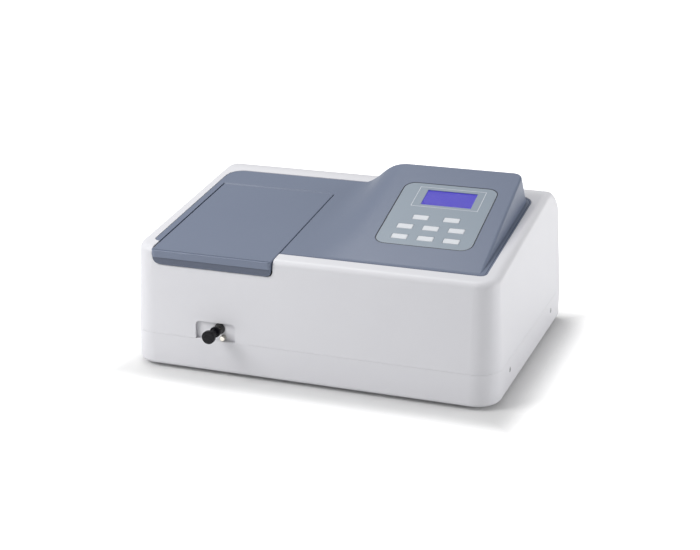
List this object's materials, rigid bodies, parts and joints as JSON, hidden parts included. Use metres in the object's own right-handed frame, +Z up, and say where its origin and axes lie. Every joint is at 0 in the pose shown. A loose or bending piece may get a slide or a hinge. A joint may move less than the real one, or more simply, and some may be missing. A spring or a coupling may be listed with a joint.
{
  "type": "spectrophotometer",
  "caption": "Bench spectrophotometer with a flush compartment lid, pull-rod cell changer, raised keypad console and an optical bench inside.",
  "frame": {"origin": "on the table under the middle of the instrument, knob included", "axes": "+X to the operator's right, +Y to the back, +Z up"},
  "size_m": [0.4708, 0.38, 0.2235],
  "materials": {
    "case_white": "fine-textured moulding",
    "deck_grey": "fine-textured moulding",
    "foil": "satin polyester foil",
    "key_white": "satin",
    "display_blue": "lit blue liquid-crystal panel",
    "window_clear": "clear acrylic",
    "knob_black": "satin black phenolic",
    "nickel": "nickel-plated steel",
    "screw_steel": "zinc-plated steel",
    "rubber_black": "matte",
    "bench_metal": "machined casting",
    "black_anodised": "black anodised",
    "mirror_glass": "front-silvered",
    "grating_glass": "ruled and aluminised",
    "optical_glass": "polished",
    "filter_glass": "coloured glass",
    "steel_sheet": "painted sheet steel",
    "board_green": "glass-epoxy board",
    "plastic_black": "moulded",
    "brass": "turned",
    "motor_steel": "drawn cans",
    "ceramic": "glazed ceramic"
  },
  "bodies": {
    "case": {"bench_grommets": "rubber_black", "bench_screws": "screw_steel", "board_standoffs": "brass", "case_screws": "screw_steel", "compartment_box": "black_anodised", "condenser_lens": "optical_glass", "data_port": "motor_steel", "detector_housing": "black_anodised", "fan_housing": "plastic_black", "filter_motor": "motor_steel", "grating_motor": "motor_steel", "guide_rails": "nickel", "guide_screw": "nickel", "halogen_lamp": "optical_glass", "hinge_pins": "nickel", "key_board": "board_green", "keypad_overlay": "foil", "lamp_house": "steel_sheet", "lamp_socket": "ceramic", "lcd_frame": "plastic_black", "lcd_panel": "display_blue", "lcd_window": "window_clear", "lens_mount": "bench_metal", "lower_case": "case_white", "main_board": "board_green", "mirror_mounts": "bench_metal", "mirrors": "mirror_glass", "monochromator_cover": "black_anodised", "monochromator_housing": "black_anodised", "optical_bench": "bench_metal", "power_inlet": "plastic_black", "power_supply": "steel_sheet", "preamp_board": "board_green", "rear_panel": "steel_sheet", "rod_bushes": "brass", "rubber_feet": "rubber_black", "small_screws": "screw_steel", "switch_bezel": "plastic_black", "top_deck": "deck_grey", "upper_case": "case_white"},
    "lid": {"compartment_lid": "deck_grey", "lid_seal": "rubber_black"},
    "changer": {"cell_carriage": "black_anodised", "pull_rod": "nickel", "rod_knob": "knob_black"},
    "rocker": {"power_rocker": "plastic_black"},
    "fan": {"fan_rotor": "plastic_black"},
    "wheel": {"filter_wheel": "black_anodised", "filter_glasses": "filter_glass"},
    "grating": {"grating_table": "bench_metal", "diffraction_grating": "grating_glass"},
    "pinion": {"grating_pinion": "brass"},
    "key_1": {"key_1": "key_white"},
    "key_2": {"key_2": "key_white"},
    "key_3": {"key_3": "key_white"},
    "key_4": {"key_4": "key_white"},
    "key_5": {"key_5": "key_white"},
    "key_6": {"key_6": "key_white"},
    "key_7": {"key_7": "key_white"},
    "key_8": {"key_8": "key_white"}
  },
  "joints": [
    {"name": "lid_hinge", "type": "hinge", "parent": "case", "child": "lid", "pos_m": [-0.124, 0.0508, 0.17766], "axis": [-1, 0, 0], "range_deg": [0, 95]},
    {"name": "changer_slide", "type": "slide", "parent": "case", "child": "changer", "axis": [0, -1, 0], "range_m": [0, 0.06]},
    {"name": "rocker_turn", "type": "hinge", "parent": "case", "child": "rocker", "pos_m": [0.19, 0.18261, 0.1037], "axis": [1, 0, 0], "range_deg": [0, 20]},
    {"name": "fan_spin", "type": "hinge", "parent": "case", "child": "fan", "pos_m": [0.13, 0.17682, 0.0894], "axis": [0, 0.9988, 0.05], "continuous": true},
    {"name": "filter_turn", "type": "hinge", "parent": "case", "child": "wheel", "pos_m": [0.064, 0.108, 0.091], "axis": [1, 0, 0], "continuous": true},
    {"name": "grating_turn", "type": "hinge", "parent": "case", "child": "grating", "pos_m": [0.024, 0.055, 0.048], "axis": [0, 0, 1], "range_deg": [-10, 20]},
    {"name": "pinion_turn", "type": "hinge", "parent": "case", "child": "pinion", "pos_m": [0.024, 0.085, 0.048], "axis": [0, 0, 1], "range_deg": [-80, 40]},
    {"name": "key_1_press", "type": "slide", "parent": "case", "child": "key_1", "axis": [0, 0.2873, -0.9578], "range_m": [0, 0.0006], "stiffness_N_per_m": 2500, "springref_m": -0.0002},
    {"name": "key_2_press", "type": "slide", "parent": "case", "child": "key_2", "axis": [0, 0.2873, -0.9578], "range_m": [0, 0.0006], "stiffness_N_per_m": 2500, "springref_m": -0.0002},
    {"name": "key_3_press", "type": "slide", "parent": "case", "child": "key_3", "axis": [0, 0.2873, -0.9578], "range_m": [0, 0.0006], "stiffness_N_per_m": 2500, "springref_m": -0.0002},
    {"name": "key_4_press", "type": "slide", "parent": "case", "child": "key_4", "axis": [0, 0.2873, -0.9578], "range_m": [0, 0.0006], "stiffness_N_per_m": 2500, "springref_m": -0.0002},
    {"name": "key_5_press", "type": "slide", "parent": "case", "child": "key_5", "axis": [0, 0.2873, -0.9578], "range_m": [0, 0.0006], "stiffness_N_per_m": 2500, "springref_m": -0.0002},
    {"name": "key_6_press", "type": "slide", "parent": "case", "child": "key_6", "axis": [0, 0.2873, -0.9578], "range_m": [0, 0.0006], "stiffness_N_per_m": 2500, "springref_m": -0.0002},
    {"name": "key_7_press", "type": "slide", "parent": "case", "child": "key_7", "axis": [0, 0.2873, -0.9578], "range_m": [0, 0.0006], "stiffness_N_per_m": 2500, "springref_m": -0.0002},
    {"name": "key_8_press", "type": "slide", "parent": "case", "child": "key_8", "axis": [0, 0.2873, -0.9578], "range_m": [0, 0.0006], "stiffness_N_per_m": 2500, "springref_m": -0.0002}
  ],
  "couplings": [
    {"joint": "pinion_turn", "follows": "grating_turn", "ratio": -4}
  ]
}
